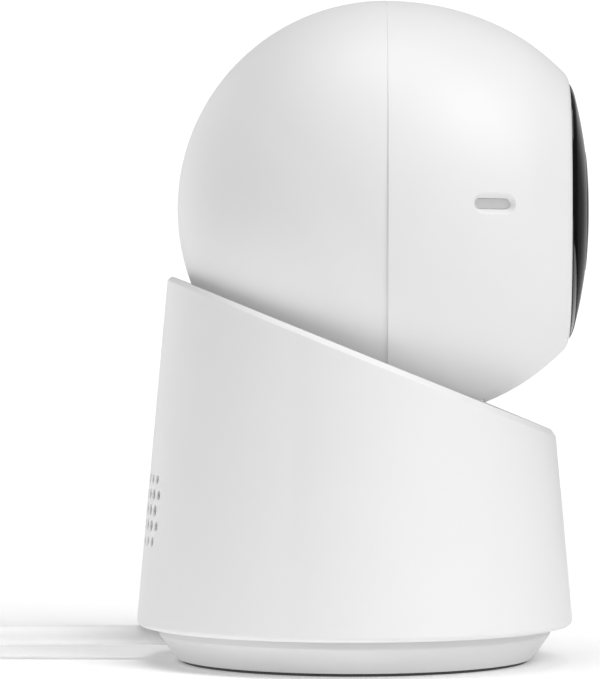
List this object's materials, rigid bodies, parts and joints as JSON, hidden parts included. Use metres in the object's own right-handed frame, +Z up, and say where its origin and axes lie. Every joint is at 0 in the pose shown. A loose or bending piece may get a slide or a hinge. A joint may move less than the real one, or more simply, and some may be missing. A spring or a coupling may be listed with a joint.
{
  "type": "security camera",
  "caption": "Indoor pan and tilt security camera: a round head with a domed black face tilts in a slanted body that turns on a low foot, with a power cable.",
  "frame": {"origin": "on the turning axis, in the plane that the foot stands on, at the mouth of the stand's threaded hole", "axes": "+X is the way the camera looks, +Y is to its left, +Z is up"},
  "size_m": [0.1717, 0.09, 0.1149],
  "materials": {
    "white_plastic": "satin moulded plastic, fine texture",
    "foot_plastic": "satin moulded plastic",
    "black_gloss": "polished, clear coated",
    "lens_glass": "polished, coated",
    "window_glass": "polished, tinted",
    "black_plastic": "matt, fine texture",
    "grey_plastic": "matt moulded plastic",
    "gear_plastic": "smooth acetal",
    "rubber_grey": "matt",
    "cable_jacket": "smooth matt jacket",
    "steel": "bright, plated",
    "motor_steel": "zinc plated, drawn can",
    "brass": "turned",
    "board_green": "solder mask",
    "led_clear": "clear epoxy",
    "copper_coil": "enamelled wire",
    "filter_glass": "coated filter",
    "speaker_black": "matt frame and cone",
    "cloth_black": "fine acoustic mesh",
    "button_grey": "satin"
  },
  "bodies": {
    "foot": {"foot_shell": "foot_plastic", "bottom_cover": "foot_plastic", "anti_slip_ring": "rubber_grey", "ballast_ring": "steel", "tripod_insert": "brass", "bottom_screws": "steel", "pan_gear": "gear_plastic", "thrust_washer": "gear_plastic", "spindle_clip": "steel", "power_board": "board_green", "cable_grommet": "cable_jacket", "power_cable": "cable_jacket", "cable_coil": "cable_jacket", "cable_tie": "rubber_grey", "cable_tail": "cable_jacket", "plug_cover": "white_plastic", "plug_shell": "steel"},
    "pan_drive": {"pan_pinion": "gear_plastic", "pan_motor_shaft": "steel"},
    "turntable": {"body_shell": "white_plastic", "pan_chassis": "grey_plastic", "chassis_screws": "steel", "dish_cover": "white_plastic", "speaker": "speaker_black", "grille_cloth": "cloth_black", "main_board": "board_green", "pan_motor": "motor_steel", "yoke": "grey_plastic", "yoke_screws": "steel", "slot_shield": "grey_plastic", "tilt_gear": "gear_plastic", "tilt_bushes": "brass"},
    "tilt_drive": {"tilt_pinion": "gear_plastic", "tilt_motor_shaft": "steel"},
    "head": {"rear_shell": "white_plastic", "front_shell": "white_plastic", "face_cover": "black_gloss", "lens_window": "window_glass", "lens_hood": "rubber_grey", "lens_barrel": "black_plastic", "lens_front": "lens_glass", "lens_rear": "lens_glass", "lens_holder": "black_plastic", "ir_cut_actuator": "copper_coil", "sensor_board": "board_green", "ir_board": "board_green", "ir_leds": "led_clear", "head_frame": "grey_plastic", "tilt_axle": "steel", "tilt_motor": "motor_steel", "head_screws": "steel", "button_switch": "black_plastic"},
    "ir_cut": {"ir_cut_slider": "filter_glass"},
    "button": {"side_button": "button_grey"}
  },
  "joints": [
    {"name": "pan", "type": "hinge", "parent": "foot", "child": "turntable", "pos_m": [0, 0, 0.0118], "axis": [0, 0, 1], "range_deg": [-175, 175]},
    {"name": "pan_pinion_spin", "type": "hinge", "parent": "turntable", "child": "pan_drive", "pos_m": [0, 0.0209, 0.0099], "axis": [0, 0, 1], "range_deg": [-584, 584]},
    {"name": "tilt", "type": "hinge", "parent": "turntable", "child": "head", "pos_m": [0.0055, 0, 0.0784], "axis": [0, 1, 0], "range_deg": [-60, 20]},
    {"name": "tilt_pinion_spin", "type": "hinge", "parent": "head", "child": "tilt_drive", "pos_m": [-0.00376, 0.0185, 0.08766], "axis": [0, 1, 0], "range_deg": [-201, 67.5]},
    {"name": "button_press", "type": "slide", "parent": "head", "child": "button", "axis": [-0.3826, 0.9239, 0], "range_m": [0, 0.0005], "stiffness_N_per_m": 400, "springref_m": -0.0015},
    {"name": "ir_cut_slide", "type": "slide", "parent": "head", "child": "ir_cut", "axis": [0, 1, 0], "range_m": [0, 0.006]}
  ],
  "couplings": [
    {"joint": "pan_pinion_spin", "follows": "pan", "ratio": 3.3333},
    {"joint": "tilt_pinion_spin", "follows": "tilt", "ratio": 3.3333}
  ]
}
